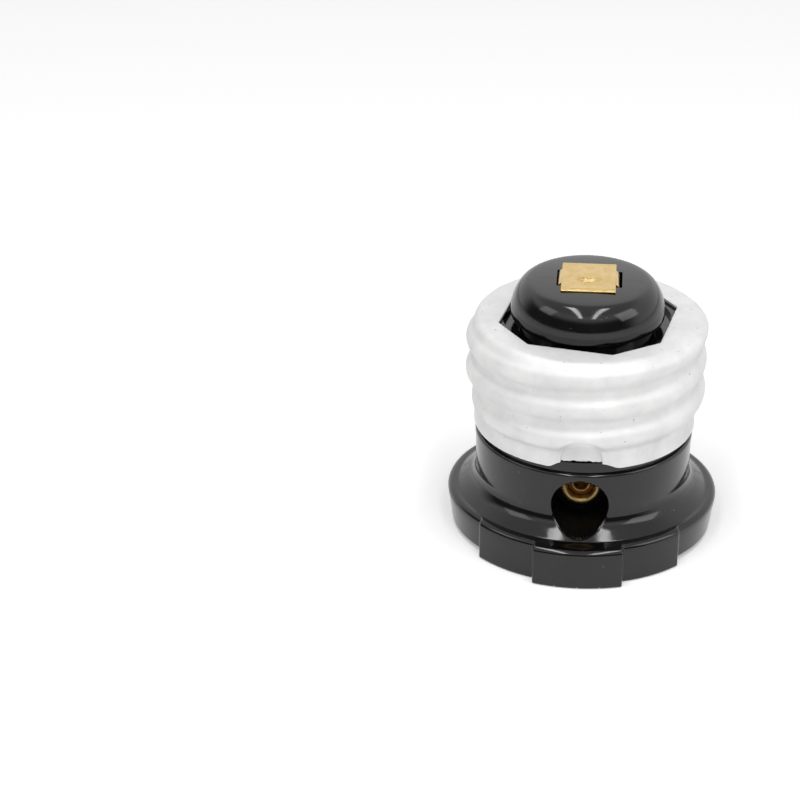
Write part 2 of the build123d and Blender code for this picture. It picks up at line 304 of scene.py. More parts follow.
def rolledAluminium():
    look = shellLook
    f = Finish("rolledAluminium")
    cloud = f.noise(look["cloudScale"], 5.0, 0.6)
    tone = f.mix(f.ramp(cloud, [(0.35, 0.0), (0.75, 1.0)]), look["pale"], look["grey"])
    streakRoom = f.stretched(look["streak"])  # rolling marks run round the shell
    streak = f.noise(1.0, 4.0, 0.6, streakRoom)
    pitNoise = f.noise(look["pitScale"], 2.0)
    pit = f.ramp(pitNoise, [(0.725, 0.0), (0.765, 1.0)])
    colour = f.mix(pit, tone, look["pit"])
    rough = f.ramp(streak, [(0.3, look["lowRough"]), (0.75, look["highRough"])])
    frost = f.noise(look["frostScale"], 3.0, 0.6)
    normal = f.bump(streak, 0.25, look["streakHeight"])
    normal = f.bump(frost, 0.2, look["frostHeight"], normal)
    normal = f.bump(pit, 0.4, -look["pitDepth"], normal)
    f.wire(Base_Color=colour, Roughness=rough, Normal=normal, Metallic=look["metallic"])
    return f.material


contactLook = {
    "bright": (0.68, 0.5, 0.23), "dull": (0.58, 0.41, 0.16), "stain": (0.4, 0.25, 0.09),
    "lowRough": 0.24, "highRough": 0.36, "grain": 0.1,
}
rivetLook = {
    "bright": (0.85, 0.62, 0.27), "dull": (0.72, 0.47, 0.16), "stain": (0.45, 0.2, 0.06),
    "lowRough": 0.34, "highRough": 0.48, "grain": 0.04,
    # painted shade: colour and radii of the dark ring painted in the rivet's dish, standing in for shade
    "paintedShade": (0.2, 0.08, 0.02), "paintedShadeInner": 1.0, "paintedShadeOuter": 1.45,
}
brassTexture = {
    "cloudScale": 0.8, "spotScale": 2.6, "scratch": (0.8, 14.0, 2.0), "scratchHeight": 0.012,
    "grainScale": 6.0, "grainHeight": 0.01,
}


def brassFinish(name, look):
    texture = brassTexture
    f = Finish(name)
    cloud = f.noise(texture["cloudScale"], 5.0, 0.6)
    tone = f.mix(f.ramp(cloud, [(0.35, 0.0), (0.7, 1.0)]), look["bright"], look["dull"])
    spot = f.ramp(f.noise(texture["spotScale"], 3.0), [(0.62, 0.0), (0.75, 0.7)])
    colour = f.mix(spot, tone, look["stain"])
    if "paintedShade" in look:  # painted shade: a dark ring painted into the dished front of the rivet, where shade falls in the hollow
        centre = (0, rivet["height"])
        across = f.nodes.new("ShaderNodeSeparateXYZ")
        f.links.new(f.inMm.outputs["Vector"], across.inputs["Vector"])
        inFront = f.maths("LESS_THAN", across.outputs["Y"], 0.0)
        outer, inner = f.within(centre, look["paintedShadeOuter"]), f.within(centre, look["paintedShadeInner"])
        ring = f.maths("MULTIPLY", f.maths("SUBTRACT", outer, inner), inFront)
        colour = f.mix(ring, colour, look["paintedShade"])
    scratch = f.noise(1.0, 3.0, 0.6, f.stretched(texture["scratch"]))
    rough = f.ramp(scratch, [(0.3, look["lowRough"]), (0.75, look["highRough"])])
    normal = f.bump(scratch, look["grain"], texture["scratchHeight"])
    normal = f.bump(f.noise(texture["grainScale"], 3.0), look["grain"], texture["grainHeight"], normal)
    f.wire(Base_Color=colour, Roughness=rough, Normal=normal, Metallic=1.0)
    return f.material


# insulating body: one half is made, cut and then mirrored at the seam

body = {
    "segmentEnd": reachX, "segmentShift": 1.5, "segmentDraft": 0.5, "segmentRecess": 0.45,
    "segmentReach": 14.48,  # about where a segment meets the step of a band
    "bandRadius": 14.85, "bandHalf": 10.8, "blockRadius": reachY, "blockHalf": 4.85,
    "flangeTop": 4.55, "rimRound": 0.62, "footRound": 0.3, "stepRound": 0.25, "cornerBlur": 0.55,
    "slopeFoot": 13.72, "slopeLean": 35.0, "slopeBlend": 0.07, "cove": 2.0,
    "neck": 11.75, "ledge": 11.95, "neckTop": 11.8, "neckRound": 0.35,
    "barrel": 11.5, "shoulder": 24.65, "barrelChamfer": 0.7, "moat": 9.1, "moatDepth": 0.5, "stem": 7.3,
    "smallEdge": 0.1, "domeRadius": 8.33, "domeFoot": 25.2, "domeFootRound": 0.3, "domeKnuckle": 2.2,
    "domeWall": 25.9, "crownHandle": 0.62, "wallHandle": 0.4, "domeCrown": 55.0,
    "domeMiddle": 0.75, "domeLand": 1.5, "domeTop": 29.45,
    "seamHalf": 0.01, "seamReach": 0.6, "seamRound": 0.02, "domeSeamRound": 0.008,
    "slitDepth": 0.28, "slitHeight": 7.4, "slitHalf": 0.45, "slitWidth": 0.8, "slitReach": 13.2,
    "boreRadius": 3.05, "boreSeat": 6.5, "boreHeight": 7.83, "boreCorner": 0.06, "shankHole": 1.55,
    "boreLip": 0.2, "lipShare": 0.6, "lipLow": 4.2, "boreDraft": 0.05, "boreDraftAt": 11.0,
    "slotCentre": 6.35, "slotHalf": 1.05, "slotCorner": 0.3, "hotHalf": 3.55, "neutralHalf": 4.45,
    "slotMouth": ((-0.6, 0.24), (0.0, 0.2), (0.04, 0.11), (0.1, 0.04), (0.2, 0.0)),  # height, and wider by
    "faceWall": 3.0, "chamberHalf": 1.3, "chamberTop": 18.85, "roofGap": 0.02, "stripLevel": 18.2,
    "grooves": (-4.85, -2.425, 0.0, 2.425, 4.85), "grooveHalf": 0.2, "grooveDepth": 0.25,
    "stakeFoot": 13.5, "pocketRadius": 2.75, "pocketFloor": 10.75, "pocketDrop": 0.45,
    "earCentre": 3.15, "earHalf": 0.45, "earReach": 2.0, "shortEar": 26.2, "shortEarHalf": 0.28,
    "armHalf": 1.55, "armBack": 11.13, "armTop": 21.45, "armOut": 13.0,
    "beyond": 20.0, "pastSeam": 1.0, "aboveTop": 31.0, "pocketMouth": 14.0,  # where the cutting tools end
    "barrelRows": (21.0, 18.0, 16.4, 15.6, 14.8, 14.0, 13.2, 12.5, 12.0),  # heights of rows in the mesh
    "sideRows": (3.3, 2.6, 1.9, 1.3, 0.95, 0.75, 0.68, 0.6, 0.53, 0.48),
    "footRows": (0.38, 0.3, 0.22, 0.16, 0.11, 0.07, 0.035, 0.012, 0.0), "smooth": 32,
}


def rimRadius(angles, inset, stepInset, segmentInset=None):
    # outline of the flange seen from above: two segments, two bands and two blocks
    b = body
    segmentRadius = b["segmentEnd"] - b["segmentShift"]
    total = np.zeros_like(angles)
    taps = np.linspace(-1, 1, 9)
    weights = 1 - np.abs(taps) * 0.8
    for tap, weight in zip(taps, weights):
        a = angles + math.radians(tap * b["cornerBlur"])
        c = np.maximum(np.abs(np.cos(a)), 1e-6)
        s = np.sin(a)
        band = np.minimum(b["bandRadius"] - inset, (b["bandHalf"] - stepInset) / c)
        reach = np.maximum(band, np.minimum(b["blockRadius"] - inset, (b["blockHalf"] - stepInset) / c))
        if segmentInset is not None:
            round2 = (segmentRadius - segmentInset) ** 2 - (b["segmentShift"] * s) ** 2
            reach = np.maximum(reach, b["segmentShift"] * c + np.sqrt(round2))
        total += weight * reach
    return total / weights.sum()


def bodyAngles():
    b = body
    degrees = list(np.linspace(-180, 0, 281)) + list(np.linspace(-112, -68, 111))
    steps = [(b["bandHalf"], b["bandRadius"], b["segmentReach"])]
    steps += [(b["blockHalf"], b["blockRadius"], b["bandRadius"])]
    for half, outer, inner in steps:  # more columns at the corners
        low = math.degrees(math.acos(half / inner))
        high = math.degrees(math.acos(half / outer))
        for side in (-1, 1):
            middle = -90 + side * (90 - (low + high) / 2)
            degrees += list(middle + np.linspace(-1.7, 1.7, 27))
    for close in (0.08, 0.17, 0.28, 0.4):
        degrees += [-close, -180 + close]
    return np.radians(np.unique(np.round(degrees, 3)))


def bodyProfile():
    # turned part of the section, from beside the top of the dome down to the cove at the neck's foot
    b = body
    crownZ = b["domeTop"] - b["domeCrown"]
    kneeX = b["domeRadius"] - b["domeKnuckle"]
    kneeZ = crownZ + math.sqrt((b["domeCrown"] - b["domeKnuckle"]) ** 2 - (kneeX - b["domeLand"]) ** 2)
    tilt = math.degrees(math.atan2(kneeZ - crownZ, kneeX - b["domeLand"]))
    footZ = b["domeFoot"] + b["domeFootRound"]
    line = [(b["domeMiddle"], b["domeTop"])]
    line += arcPoints(b["domeLand"], crownZ, b["domeCrown"], 90, tilt, 9)
    start, wall = Vector(line[-1]), Vector((b["domeRadius"], b["domeWall"]))
    lean = math.radians(tilt - 90)
    crownHandle = Vector((math.cos(lean), math.sin(lean))) * (b["crownHandle"] * (wall.x - start.x))
    wallHandle = Vector((0, b["wallHandle"] * (start.y - wall.y)))
    knuckle = interpolate_bezier(start, start + crownHandle, wall + wallHandle, wall, 18)
    line += [tuple(p) for p in knuckle[1:]]
    line += [(b["domeRadius"], (b["domeWall"] + footZ) / 2)]
    line += arcPoints(b["domeRadius"] - b["domeFootRound"], footZ, b["domeFootRound"], 0, -90, 7)
    floor = b["shoulder"] - b["moatDepth"]
    edge = b["smallEdge"]
    line += [(b["stem"] + edge, b["domeFoot"]), (b["stem"], b["domeFoot"] - edge), (b["stem"], floor)]
    line += [(b["moat"], floor), (b["moat"], b["shoulder"] - edge), (b["moat"] + edge, b["shoulder"])]
    line += [(b["barrel"] - b["barrelChamfer"], b["shoulder"])]
    line += [(b["barrel"], b["shoulder"] - b["barrelChamfer"])]
    line += [(b["barrel"], z) for z in b["barrelRows"]]
    line += [(b["barrel"], b["neckTop"])]
    roundR = b["neckRound"]
    line += arcPoints(b["ledge"] - roundR, b["neckTop"] - roundR, roundR, 90, 0, 8)
    coveX = b["neck"] + b["cove"]
    lean = math.radians(b["slopeLean"])
    slopeRun = b["slopeFoot"] - coveX + b["cove"] * math.sin(lean)
    coveZ = b["flangeTop"] + slopeRun * math.tan(lean) + b["cove"] * math.cos(lean)
    neckHigh = b["neckTop"] - roundR
    for t in np.linspace(0, 1, 24)[1:]:
        line.append((b["ledge"] + (b["neck"] - b["ledge"]) * t, neckHigh + (coveZ - neckHigh) * t))
    line += arcPoints(coveX, coveZ, b["cove"], 180, 270 - b["slopeLean"], 12)[1:]
    return line


def halfBodyGrid():
    b = body
    angles = bodyAngles()
    cols = len(angles)
    rings = [(np.full(cols, r), np.full(cols, z)) for r, z in bodyProfile()]
    rimTop = b["flangeTop"] - b["rimRound"]
    inner = rimRadius(angles, b["rimRound"], b["stepRound"], b["rimRound"])
    slopeFrom, slopeTop = rings[-1][0], rings[-1][1] - b["flangeTop"]
    soft = b["slopeBlend"]
    for t in np.linspace(0, 1 + soft, 15)[1:]:  # the top slopes from the neck towards the rim
        fall = 1 - t if t < 1 - soft else (1 + soft - t) ** 2 / (4 * soft)
        rings.append((slopeFrom + (b["slopeFoot"] - slopeFrom) * t, b["flangeTop"] + slopeTop * fall))
    land = rings[-1][0]
    for t in (0.4, 0.75):
        rings.append((land + (inner - land) * t, np.full(cols, b["flangeTop"])))
    for a in np.radians(np.linspace(90, 0, 9)):
        inset = b["rimRound"] * (1 - math.cos(a))
        step = b["stepRound"] * (1 - math.cos(a))
        z = rimTop + b["rimRound"] * math.sin(a)
        rings.append((rimRadius(angles, inset, step, inset), np.full(cols, z)))
    foot = b["footRound"]
    recess = b["segmentRecess"]
    for z in (*b["sideRows"], recess):
        draft = b["segmentDraft"] * (rimTop - z) / (rimTop - recess)
        under = max(foot - (z - recess), 0)
        tuck = draft + foot - math.sqrt(foot * foot - under * under)
        rings.append((rimRadius(angles, 0, 0, tuck), np.full(cols, z)))
    for z in (recess, *b["footRows"]):  # no segments below the recess
        insets = [size - math.sqrt(size ** 2 - max(size - z, 0) ** 2) for size in (foot, foot / 2)]
        rings.append((rimRadius(angles, *insets), np.full(cols, z)))
    last = rings[-1][0]
    for t in (0.96, 0.85, 0.65, 0.4, 0.15):
        rings.append((last * t, np.zeros(cols)))
    points = [(0.0, 0.0, b["domeTop"])]
    for r, z in rings:
        points += list(zip(r * np.cos(angles), r * np.sin(angles), z))
    points.append((0.0, 0.0, 0.0))
    faces = gridQuads(len(rings), cols, 1)
    end = len(points) - 1
    for c in range(cols - 1):
        faces.append((0, 1 + c, 2 + c))
        faces.append((end, end - cols + c, end - cols + c + 1))
    return np.array(points), faces


def softenedHalf():
    # rounds the seam edge and the mouth of the counterbore before anything is cut
    b = body
    made = objectFrom("bodyFront", *halfBodyGrid())
    faceOutward(made)
    count = len(made.data.vertices)
    flat = np.empty(count * 3)
    made.data.vertices.foreach_get("co", flat)
    p = flat.reshape(-1, 3)
    normals = np.empty(count * 3)
    made.data.vertex_normals.foreach_get("vector", normals)
    n = normals.reshape(-1, 3)
    depth = np.abs(p[:, 1])
    p[:, 1] -= b["seamHalf"] * np.clip(1 - depth / b["seamReach"], 0, 1)
    roundR = np.where(p[:, 2] > b["shoulder"], b["domeSeamRound"], b["seamRound"])
    left = np.clip(roundR - (-p[:, 1] - b["seamHalf"]), 0, roundR)
    push = roundR - np.sqrt(np.maximum(roundR ** 2 - left ** 2, 0))
    level = np.abs(p[:, 2] - b["slitHeight"]) / b["slitHalf"]
    slit = 1 - smoothStep(0.2, 1, level)  # small gap at the foot of the neck
    slit = slit * (1 - smoothStep(0, b["slitWidth"], -p[:, 1] - b["seamHalf"]))
    slit = slit * (np.hypot(p[:, 0], p[:, 1]) < b["slitReach"])
    push = push + slit * b["slitDepth"]
    left = np.maximum(left, slit * 0.01)
    away = np.hypot(p[:, 0], p[:, 2] - b["boreHeight"]) - b["boreRadius"]
    lip = b["boreLip"]
    near = np.clip(lip - away, 0, lip)
    outside = (p[:, 1] < -b["boreSeat"]) & (p[:, 2] > b["lipLow"]) & (p[:, 2] < b["neckTop"] - b["boreLip"])
    push = push + np.where(outside, lip - np.sqrt(np.maximum(lip ** 2 - near ** 2, 0)), 0) * b["lipShare"]
    n[:, 1] = np.where(left > 0, 0, n[:, 1])  # the seam face stays flat
    p -= n * push[:, None]
    p[:, 2] = np.maximum(p[:, 2], 0)
    made.data.vertices.foreach_set("co", p.ravel())
    bm = bmesh.new()
    bm.from_mesh(made.data)
    rim = [e for e in bm.edges if e.is_boundary]
    bmesh.ops.contextual_create(bm, geom=rim)
    bmesh.ops.recalc_face_normals(bm, faces=bm.faces)
    bm.to_mesh(made.data)
    bm.free()
    return made


def roundedRect(xc, halfX, halfY, corner, grow, z):
    loop = []
    for sx, sy, start in ((1, 1, 0), (-1, 1, 90), (-1, -1, 180), (1, -1, 270)):
        cx = xc + sx * (halfX - corner)
        cy = sy * (halfY - corner)
        loop += [(x, y, z) for x, y in arcPoints(cx, cy, corner + grow, start, start + 90, 6)]
    return loop


def slotTool(xc, halfY):
    b = body
    levels = (*b["slotMouth"], (b["faceWall"] + b["smallEdge"], 0.0))
    return loftLoops([roundedRect(xc, b["slotHalf"], halfY, b["slotCorner"], grow, z) for z, grow in levels])


def grooveTool(xc):
    b = body
    w, d = b["grooveHalf"], b["grooveDepth"]
    section = [(-w * 1.5, -0.3), (-w * 1.5, -0.001), (-w, 0.03), (-w * 0.55, d * 0.55), (0, d)]
    section += [(-x, z) for x, z in reversed(section[:-1])]
    return loftLoops([[(xc + x, y, z) for x, z in section] for y in (-b["beyond"], b["pastSeam"])])


def counterboreTool():
    b = body
    seat, radius, corner = -b["boreSeat"], b["boreRadius"], b["boreCorner"]
    hole, past, edge = b["shankHole"], b["pastSeam"], b["smallEdge"]
    line = [(0, past), (hole, past), (hole, seat + edge), (hole + edge, seat)]
    line += [(r, y) for y, r in arcPoints(seat - corner, radius - corner, corner, 0, 90, 6)]
    line += [(radius + b["boreDraft"], -b["boreDraftAt"])]
    line += [(radius + 2 * b["boreDraft"], -b["beyond"]), (0, -b["beyond"])]
    return turnedAboutY(line, b["boreHeight"], 160)


def pocketTool():
    b = body
    outline = arcPoints(0, b["stakeFoot"], b["pocketRadius"], 0, 180, 40)
    low = b["stakeFoot"] - b["pocketDrop"]
    outline += [(-b["pocketRadius"], low), (b["pocketRadius"], low)]
    return loftLoops([[(x, y, z) for x, z in outline] for y in (-b["pocketFloor"], -b["pocketMouth"])])


def stripTool(outline, halfY):
    return loftLoops([[(x, y, z) for x, z in outline] for y in (-halfY, body["pastSeam"])])


def cutBody(made):
    b = body
    c = b["slotCentre"]
    ear, half, reach = b["earCentre"], b["earHalf"], b["earReach"]
    level, roof = b["stripLevel"], b["chamberTop"] - b["roofGap"]  # no cut shares a plane with the chambers
    past, high, back, out = b["pastSeam"], b["aboveTop"], -b["armBack"], -b["armOut"]
    first = [counterboreTool(), pocketTool(), slotTool(c, b["hotHalf"]), slotTool(-c, b["neutralHalf"])]
    first += [boxPart((-ear - b["shortEarHalf"], -reach, b["shortEar"]), (-ear + half, past, high))]
    riser = [(ear - half, level), (c, level), (c, roof), (ear + half, roof)]
    riser += [(ear + half, high), (ear - half, high)]
    first += [stripTool(riser, reach)]
    arm = [(out, level), (-c, level), (-c, roof), (back, roof), (back, b["armTop"]), (out, b["armTop"])]
    first += [stripTool(arm, b["armHalf"])]
    combine(made, joined("firstTools", first), "DIFFERENCE")
    second = [grooveTool(x) for x in b["grooves"]]
    for side, halfY in ((1, b["hotHalf"]), (-1, b["neutralHalf"])):
        low = (side * c - b["chamberHalf"], -halfY, b["faceWall"])
        second.append(boxPart(low, (side * c + b["chamberHalf"], past, b["chamberTop"])))
    combine(made, joined("secondTools", second), "DIFFERENCE")


def makeBody():
    front = softenedHalf()
    cutBody(front)
    smoothUnder(front, body["smooth"])
    rear = bpy.data.objects.new("bodyRear", front.data.copy())
    bpy.context.collection.objects.link(rear)
    bm = bmesh.new()
    bm.from_mesh(rear.data)
    for v in bm.verts:
        v.co.y = -v.co.y
    bmesh.ops.reverse_faces(bm, faces=bm.faces)
    bm.to_mesh(rear.data)
    bm.free()
    smoothUnder(rear, body["smooth"])
    ridesOn(front, phenolic, "insulator", "front_body_half")
    ridesOn(rear, phenolic, "insulator", "rear_body_half")
    return front, rear


phenolic = blackPhenolic()
print("body finish made")
bodyFront, bodyRear = makeBody()
print("body halves made", len(bodyFront.data.polygons))


# screw shell: one closed section that follows the thread round the axis

shell = {
    "pitch": 25.4 / 7, "crest": 13.1, "depth": 0.8, "crestArc": 1.35, "wall": 0.4,
    "foot": 12.55, "middle": 16.4, "top": 25.05, "topRound": 0.9, "topLift": 0.35,
    "skirt": 12.1, "skirtTop": 14.65, "blend": 0.6, "threadStart": 16.07, "fullTurns": 2.25, "runOut": 0.3,
    "octagon": 9.97, "octHalf": 27.4, "octTurn": -11.3, "octShift": (0.1, 0.2),
    "edgeRound": 0.12, "edgeUnder": 0.16, "innerRound": 0.5, "innerFoot": 0.05,
    "footRoll": ((0.2, 0.0), (0.05, 0.015), (0.0, 0.06)),  # inset and rise of the rounded lower edge
    "stakeRadius": 2.2, "stakeCentre": body["stakeFoot"], "stakeFoot": 13.2, "stakeDepth": 0.8,
    "stakeLean": 0.25, "stakeSoft": 0.14, "collar": body["pocketRadius"], "creaseSharp": 5.0,
    "notchLeft": 3.6, "notchRight": 4.3, "smooth": 50,
}


def shellAngles():
    degrees = list(np.linspace(0, 360, 241)[:-1])
    for middle in (90, 270):
        degrees += list(middle + np.linspace(-20, 20, 101))
    for k in range(4):
        for side in (-1, 1):
            corner = (90 * k + shell["octTurn"] + side * shell["octHalf"]) % 360
            degrees += [corner - 0.4, corner, corner + 0.4]
    return np.radians(np.unique(np.round(np.mod(degrees, 360), 3)))


def threadLift(angles, z):
    # height of the rolled wave above the wall between the ridges
    s = shell
    pitch, depth = s["pitch"], s["depth"]
    crestArc = s["crestArc"]
    rootArc = ((pitch / 2) ** 2 + depth ** 2) / (2 * depth) - crestArc
    phase = np.mod(angles + math.pi / 2, 2 * math.pi) / (2 * math.pi)
    along = (z - s["threadStart"]) / pitch - phase
    turn = np.round(along)
    off = np.abs(along - turn) * pitch
    change = pitch / 2 * crestArc / (crestArc + rootArc)
    crestPart = depth - crestArc + np.sqrt(np.maximum(crestArc ** 2 - np.minimum(off, change) ** 2, 0))
    rest = np.clip(pitch / 2 - off, 0, pitch / 2 - change)
    rootPart = rootArc - np.sqrt(rootArc ** 2 - rest ** 2)
    wave = np.where(off < change, crestPart, rootPart)
    turns = turn + phase
    fadeIn = smoothStep(-s["runOut"], 0.02, turns)
    fadeOut = 1 - smoothStep(s["fullTurns"], s["fullTurns"] + s["runOut"] * 1.2, turns)
    return wave * fadeIn * fadeOut


def octagonRadius(angles):
    s = shell
    sx, sy = s["octShift"]
    corners = []
    for k in range(4):
        for side in (-1, 1):
            a = math.radians(90 * k + s["octTurn"] + side * s["octHalf"])
            corners.append((sx + s["octagon"] * math.cos(a), sy + s["octagon"] * math.sin(a)))
    reach = np.full(len(angles), 1e9)
    dx, dy = np.cos(angles), np.sin(angles)
    for (x0, y0), (x1, y1) in zip(corners, corners[1:] + corners[:1]):
        ex, ey = x1 - x0, y1 - y0
        cross = dx * ey - dy * ex
        t = (x0 * ey - y0 * ex) / np.where(np.abs(cross) < 1e-9, 1e-9, cross)
        reach = np.where((t > 0) & (t < reach), t, reach)
    return reach


def shellFoot(angles, radius):
    # lower edge, which rises beside the two stakes, more steeply on one side
    s = shell
    x = radius * np.cos(angles) * np.where(np.sin(angles) < 0, 1, -1)
    wide = np.where(x < 0, s["notchLeft"], s["notchRight"])
    x = np.abs(x)
    rise = smoothStep(0, 1, (wide - x) / (wide - s["stakeRadius"]))
    ragged = 0.04 * np.sin(x * 4.1 + angles) + 0.03 * np.sin(x * 9.0)
    return s["foot"] + (s["stakeFoot"] - s["foot"] + np.where(x < s["stakeRadius"], ragged, 0)) * rise


def outerRadius(angles, z, inset):
    s = shell
    root = s["crest"] - s["depth"]
    across = s["skirt"] * np.cos(angles)
    arch = s["stakeCentre"] + np.sqrt(np.maximum(s["collar"] ** 2 - across ** 2, 0)) - s["blend"] / 2
    sharp = s["creaseSharp"]
    crease = s["skirtTop"] + np.logaddexp(0, (arch - s["skirtTop"]) * sharp) / sharp  # rises over the stakes
    wall = s["skirt"] + (root - s["skirt"]) * smoothStep(crease, crease + s["blend"], z)
    return wall + threadLift(angles, z) - inset


def stakedIn(points, inset):
    # pushes the semicircular stakes in at the front and the back
    s = shell
    x, y, z = points[:, 0], points[:, 1], points[:, 2]
    away = np.hypot(x, np.maximum(z - s["stakeCentre"], 0))
    edge = s["stakeRadius"] + inset
    press = 1 - smoothStep(edge - s["stakeSoft"] * 0.4, edge + s["stakeSoft"] * 0.6, away)
    floor = s["skirt"] - s["stakeDepth"] - inset
    floor = floor + s["stakeLean"] * smoothStep(0, s["stakeRadius"], z - s["stakeCentre"])
    target = np.sign(y) * np.minimum(np.abs(y), floor)
    points[:, 1] = y + (target - y) * press
    return points


def makeShell():
    s = shell
    angles = shellAngles()
    cols = len(angles)
    ones = np.ones(cols)
    foot = shellFoot(angles, s["skirt"])
    middle = s["middle"]
    shoulderLow = s["top"] - s["topRound"]
    outerRows = []
    for t in np.linspace(0, 1, 40):
        outerRows.append(foot + (middle - foot) * t)
    for z in np.linspace(middle, shoulderLow, 66)[1:]:
        outerRows.append(ones * z)
    rings = []
    low = outerRows[0]
    for inset, rise in s["footRoll"]:
        rings.append((outerRadius(angles, low, inset), low + rise))
    for z in outerRows[1:]:
        rings.append((outerRadius(angles, z, 0), z))
    stretch = len(rings)
    edgeRadius = octagonRadius(angles)
    for a in np.radians(np.linspace(0, 90, 11)[1:]):
        z = ones * (shoulderLow + s["topRound"] * math.sin(a))
        lift = threadLift(angles, z) * (s["topLift"] + (1 - s["topLift"]) * math.cos(a))
        rings.append((s["crest"] - s["depth"] - s["topRound"] * (1 - math.cos(a)) + lift, z))
    shoulderEnd = rings[-1][0]
    edge = s["edgeRound"]
    for t in (0.25, 0.5, 0.75):
        rings.append((shoulderEnd + (edgeRadius + edge - shoulderEnd) * t, ones * s["top"]))
    for a in np.radians(np.linspace(90, 270, 9)):
        z = s["top"] - edge + edge * math.sin(a) * ones - (s["edgeUnder"] if a > math.pi else 0)
        rings.append((edgeRadius + edge + edge * math.cos(a), z))
    under = s["top"] - s["wall"]
    innerRoot = s["crest"] - s["depth"] - s["wall"]
    rings.append((ones * (innerRoot - s["innerRound"]), ones * under))
    for z in np.linspace(under - s["innerRound"], middle, 40):
        rings.append((outerRadius(angles, ones * z, s["wall"]), ones * z))
    innerFrom = len(rings)
    for t in np.linspace(1, 0, 24)[1:]:
        z = foot + (middle - foot) * t
        rings.append((outerRadius(angles, z, s["wall"]), z + (s["innerFoot"] if t == 0 else 0)))
    points = []
    for k, (r, z) in enumerate(rings):
        row = np.stack([r * np.cos(angles), r * np.sin(angles), z], axis=1)
        if k < stretch:
            row = stakedIn(row, 0)
        if k >= innerFrom:
            row = stakedIn(row, s["wall"])
        points.append(row)
    points = np.concatenate(points)
    faces = gridQuads(len(rings), cols, 0, True)
    last = (len(rings) - 1) * cols
    for c in range(cols):
        d = (c + 1) % cols
        faces.append((last + c, last + d, d, c))
    made = objectFrom("screwShell", points, faces)
    faceOutward(made)
    smoothUnder(made, s["smooth"])
    ridesOn(made, aluminium, "shell_metal", "screw_shell")
    return made


aluminium = rolledAluminium()
screwShell = makeShell()
print("screw shell made", len(screwShell.data.polygons))


# rivet: rolled lip round a bore at the front, low dome at the back

rivet = {
    "height": body["boreHeight"], "seat": body["boreSeat"], "shank": 1.5, "bore": 0.75,
    "boreSteps": ((0.02, 0.3), (0.1, 1.6), (0.15, 2.9), (0.45, 3.2), (0.75, 3.55)),  # narrower by, how deep
    "lipOuter": 2.28, "lipHeight": 0.8, "rollRadius": 0.42, "ringRadius": 0.13, "ringHeight": 0.16,
    "dish": ((1.45, 0.05), (1.4, 0.14), (1.3, 0.18), (1.12, 0.14)),  # radius, how deep
    "headRadius": 2.35, "headHeight": 0.9, "smooth": 40,
}


def makeRivet():
    r = rivet
    seat = r["seat"]
    curve = (r["headRadius"] ** 2 + r["headHeight"] ** 2) / (2 * r["headHeight"])
    turn = math.degrees(math.asin(r["headRadius"] / curve))
    line = [(0, seat + r["headHeight"])]
    centre = seat + r["headHeight"] - curve
    for a in np.radians(np.linspace(0, turn, 12)[1:]):
        line.append((curve * math.sin(a), centre + curve * math.cos(a)))
    line += [(r["headRadius"] - 0.05, seat), (r["shank"], seat), (r["shank"], -seat)]
    roll, ring = r["rollRadius"], r["ringRadius"]
    line += [(r["lipOuter"] - 0.2, -seat), (r["lipOuter"] - 0.05, -seat - 0.1)]
    line += arcPoints(r["lipOuter"] - roll, -seat - r["lipHeight"] + roll, roll, 0, -150, 16)
    line += [(radius, -seat + deep) for radius, deep in r["dish"]]
    line += arcPoints(r["bore"] + ring, -seat - r["ringHeight"] + ring, ring, -30, -180, 10)
    line += [(r["bore"] - narrower, -seat + deep) for narrower, deep in r["boreSteps"]]
    points, faces = turnedAboutY(line, r["height"], 96)
    made = objectFrom("bodyRivet", points, faces)
    faceOutward(made)
    smoothUnder(made, r["smooth"])
    ridesOn(made, rivetBrass, "rivet_brass", "body_rivet")
    return made


rivetBrass = brassFinish("rivetBrass", rivetLook)
bodyRivet = makeRivet()
print("rivet made")


# contact strips: bent from flat brass, with the pad embossed

strip = {
    "thick": 0.4, "bend": 0.6, "edge": 0.06, "slotCentre": body["slotCentre"], "level": body["stripLevel"],
    "jawGap": 1.3, "jawFoot": 3.2, "hotWidth": 6.1, "neutralWidth": 7.9,
    "earCentre": body["earCentre"], "earWidth": 3.5, "earDrop": 3.0, "earRun": 0.95, "earBend": 0.5,
    "padFoot": body["domeTop"], "padTop": 29.73, "padHalfX": 2.93, "padHalfY": 3.55, "padEdge": 0.1,
    "padRoll": 0.42, "padFall": 0.14, "bossFlat": 1.15, "bossRadius": 1.72, "bossTop": topZ,
    "armWidth": 2.6, "armReach": 11.58, "armTop": 21.2, "smooth": 40,
    "earSink": 0.02, "armSink": 0.005,  # so that no faces of two bent pieces coincide
}


def roundedPath(corners, radius, count):
    # (x, z) corners joined by arcs
    path = [Vector(corners[0])]
    for before, at, after in zip(corners, corners[1:], corners[2:]):
        at, u, v = Vector(at), Vector(before) - Vector(at), Vector(after) - Vector(at)
        u.normalize()
        v.normalize()
        half = u.angle(v) / 2
        reach = radius / math.tan(half)
        centre = at + (u + v).normalized() * (radius / math.sin(half))
        p0, p1 = at + u * reach - centre, at + v * reach - centre
        for t in np.linspace(0, 1, count):
            mid = p0.lerp(p1, t)
            path.append(centre + mid.normalized() * radius)
    path.append(Vector(corners[-1]))
    return path


def bentStrip(corners, width, radius=None):
    s = strip
    path = roundedPath(corners, radius or s["bend"], 9)
    half, edge, halfY = s["thick"] / 2, s["edge"], width / 2
    section = []
    for sx, sy, start in ((1, 1, 0), (-1, 1, 90), (-1, -1, 180), (1, -1, 270)):
        section += arcPoints(sx * (half - edge), sy * (halfY - edge), edge, start, start + 90, 4)
    loops = []
    for k, p in enumerate(path):
        ahead = path[min(k + 1, len(path) - 1)] - path[max(k - 1, 0)]
        ahead.normalize()
        side = Vector((ahead.y, -ahead.x))
        loops.append([(p.x + side.x * n, w, p.y + side.y * n) for n, w in section])
    return loftLoops(loops)


